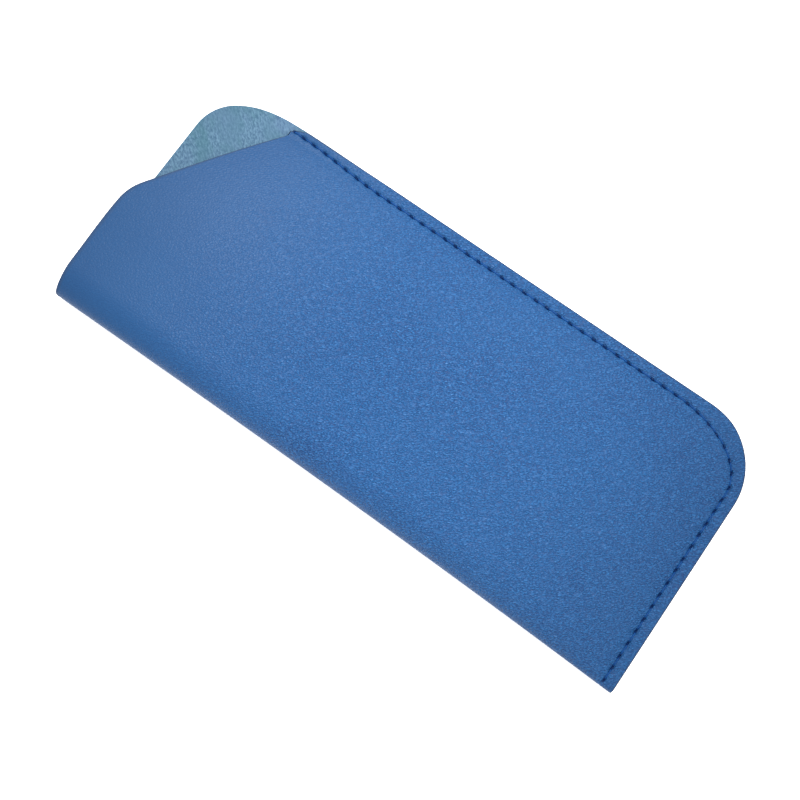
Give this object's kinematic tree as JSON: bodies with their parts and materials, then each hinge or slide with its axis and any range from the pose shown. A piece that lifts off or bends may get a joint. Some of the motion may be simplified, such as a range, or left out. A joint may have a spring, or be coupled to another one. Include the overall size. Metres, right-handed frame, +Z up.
{
  "type": "eyeglasses case",
  "caption": "Soft slip-in eyeglasses case of lined leather, folded along one long side, stitched along the other and one end, with a slanted mouth and a rounded back tab.",
  "frame": {"origin": "centre of the footprint on the table, under the back panel, with the case lying on its back", "axes": "+X runs from the mouth to the closed end, +Y from the fold to the sewn long edge, +Z up out of the table"},
  "size_m": [0.175, 0.0754, 0.0102],
  "materials": {
    "leather": "fine pebble grain, satin",
    "suede_lining": "short suede nap, matte",
    "sewing_thread": "twisted polyester, soft sheen"
  },
  "bodies": {
    "root": {"leather_back_panel": "leather", "leather_fold": "leather", "leather_sewn_border": "leather", "lining_back_panel": "suede_lining", "lining_fold": "suede_lining", "lining_sewn_border": "suede_lining", "needle_thread": "sewing_thread", "bobbin_thread": "sewing_thread"},
    "front": {"leather_front_panel": "leather", "lining_front_panel": "suede_lining"},
    "mouth_tab": {"leather_mouth_tab": "leather", "lining_mouth_tab": "suede_lining"}
  },
  "joints": [
    {"name": "mouth_opening", "type": "hinge", "parent": "root", "child": "front", "pos_m": [0.0823, 0, 0.0037], "axis": [0, 1, 0], "range_deg": [0, 5], "stiffness_Nm_per_rad": 0.1},
    {"name": "tab_flex", "type": "hinge", "parent": "root", "child": "mouth_tab", "pos_m": [-0.0875, -0.03075, 0.0017], "axis": [0.3173, 0.9483, 0], "range_deg": [0, 30], "stiffness_Nm_per_rad": 0.02}
  ]
}
